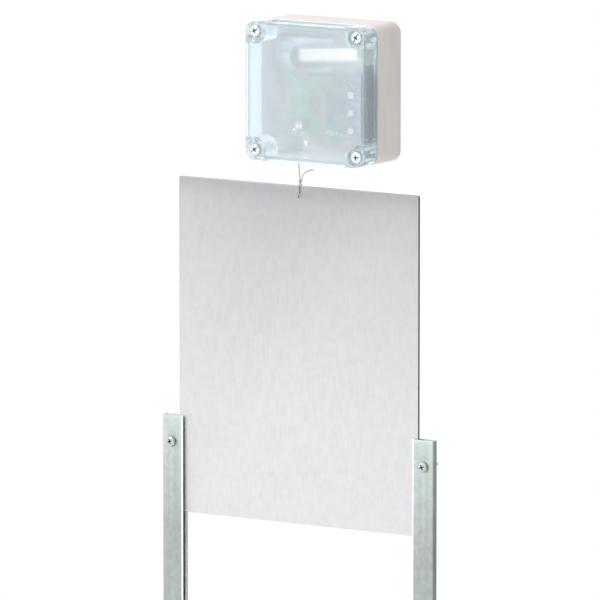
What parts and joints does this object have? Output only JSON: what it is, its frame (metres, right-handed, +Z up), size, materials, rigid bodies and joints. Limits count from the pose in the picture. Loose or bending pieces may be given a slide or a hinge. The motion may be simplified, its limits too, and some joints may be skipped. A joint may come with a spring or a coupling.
{
  "type": "automatic coop door opener",
  "caption": "Wall box with a clear lid and a battery winch that lifts a sheet coop door on a thin cord between two U-section guide rails.",
  "frame": {"origin": "point on the control box's flat back face, level with the box's middle, on the door's vertical centre line", "axes": "+Z up, along the longest extent; +Y into the wall, square to the box back; +X to the right as seen from the front"},
  "size_m": [0.284, 0.0757, 0.764],
  "materials": {
    "housing_plastic": "warm light grey moulded box, fine texture",
    "clear_plastic": "clear polycarbonate lid with a faint teal tint, frosted on the inside of its front",
    "seal_rubber": "black rubber",
    "zinc_screw": "bright zinc-plated steel",
    "circuit_board": "green solder mask",
    "chip_plastic": "black epoxy",
    "relay_plastic": "dark relay case",
    "capacitor_sleeve": "dark blue sleeve",
    "sensor_window": "light sensor window",
    "terminal_plastic": "green terminal plastic",
    "plated_steel": "plated steel",
    "motor_steel": "drawn steel can",
    "spool_plastic": "white acetal",
    "gear_nylon": "natural nylon",
    "braided_cord": "pale grey braided cord",
    "holder_plastic": "black holder",
    "cell_sleeve": "plain dark cell sleeve",
    "spring_nickel": "nickel-plated spring wire",
    "strip_board": "lavender-grey board",
    "led_lens": "diffused lens",
    "button_cream": "cream button",
    "lead_red": "red insulation",
    "lead_black": "black insulation",
    "door_aluminium": "mill-finish aluminium sheet",
    "rail_zinc": "greenish-grey mill-finish channel"
  },
  "bodies": {
    "housing": {"axle_clip": "zinc_screw", "battery_cell_1": "cell_sleeve", "battery_cell_2": "cell_sleeve", "battery_cell_3": "cell_sleeve", "battery_holder": "holder_plastic", "battery_lead_black": "lead_black", "battery_lead_red": "lead_red", "battery_spring_1": "spring_nickel", "battery_spring_2": "spring_nickel", "battery_spring_3": "spring_nickel", "board_screw_1": "zinc_screw", "board_screw_2": "zinc_screw", "bracket_screw_1": "zinc_screw", "bracket_screw_2": "zinc_screw", "bracket_screw_3": "zinc_screw", "capacitor": "capacitor_sleeve", "control_strip": "strip_board", "cord_eyelet": "seal_rubber", "gear_motor": "plated_steel", "guide_rail_left": "rail_zinc", "guide_rail_right": "rail_zinc", "housing_base": "housing_plastic", "lift_cord": "braided_cord", "lift_cord_inner": "braided_cord", "light_sensor": "sensor_window", "main_board": "circuit_board", "microcontroller": "chip_plastic", "motor_bracket": "plated_steel", "motor_can": "motor_steel", "motor_driver": "relay_plastic", "motor_end_cap": "terminal_plastic", "motor_lead_black": "lead_black", "motor_lead_red": "lead_red", "motor_screw_1": "zinc_screw", "motor_screw_2": "zinc_screw", "rail_screw_left_bottom": "zinc_screw", "rail_screw_left_top": "zinc_screw", "rail_screw_right_bottom": "zinc_screw", "rail_screw_right_top": "zinc_screw", "spool_axle": "plated_steel", "status_led": "led_lens", "terminal_block": "terminal_plastic"},
    "door": {"door_panel": "door_aluminium", "cord_loop": "braided_cord", "cord_knot": "braided_cord", "cord_tail": "braided_cord"},
    "spool": {"cord_spool": "spool_plastic", "spool_gear": "gear_nylon", "cord_winding": "braided_cord"},
    "pinion": {"drive_pinion": "gear_nylon", "motor_shaft": "plated_steel"},
    "lid_body": {"lid": "clear_plastic", "lid_seal": "seal_rubber", "lid_screw_1": "zinc_screw", "lid_screw_2": "zinc_screw", "lid_screw_3": "zinc_screw", "lid_screw_4": "zinc_screw"},
    "button_body_1": {"button_1": "button_cream"},
    "button_body_2": {"button_2": "button_cream"},
    "button_body_3": {"button_3": "button_cream"}
  },
  "joints": [
    {"name": "door_slide", "type": "slide", "parent": "housing", "child": "door", "axis": [0, 0, -1], "range_m": [0, 0.3], "deforming": ["lift_cord"]},
    {"name": "spool_spin", "type": "hinge", "parent": "housing", "child": "spool", "pos_m": [0.0115, -0.0153, 0.03], "axis": [0, -1, 0], "range_deg": [0, 1720]},
    {"name": "pinion_spin", "type": "hinge", "parent": "housing", "child": "pinion", "pos_m": [0.0307, -0.0153, 0.03], "axis": [0, -1, 0], "range_deg": [-5160, 0]},
    {"name": "lid_removal", "type": "slide", "parent": "housing", "child": "lid_body", "axis": [0, -1, 0], "range_m": [0, 0.07]},
    {"name": "button_1_press", "type": "slide", "parent": "housing", "child": "button_body_1", "axis": [0, 1, 0], "range_m": [0, 0.0005], "stiffness_N_per_m": 400},
    {"name": "button_2_press", "type": "slide", "parent": "housing", "child": "button_body_2", "axis": [0, 1, 0], "range_m": [0, 0.0005], "stiffness_N_per_m": 400},
    {"name": "button_3_press", "type": "slide", "parent": "housing", "child": "button_body_3", "axis": [0, 1, 0], "range_m": [0, 0.0005], "stiffness_N_per_m": 400}
  ],
  "couplings": [
    {"joint": "spool_spin", "follows": "door_slide", "rad_per_m": 100},
    {"joint": "pinion_spin", "follows": "door_slide", "rad_per_m": -300}
  ]
}
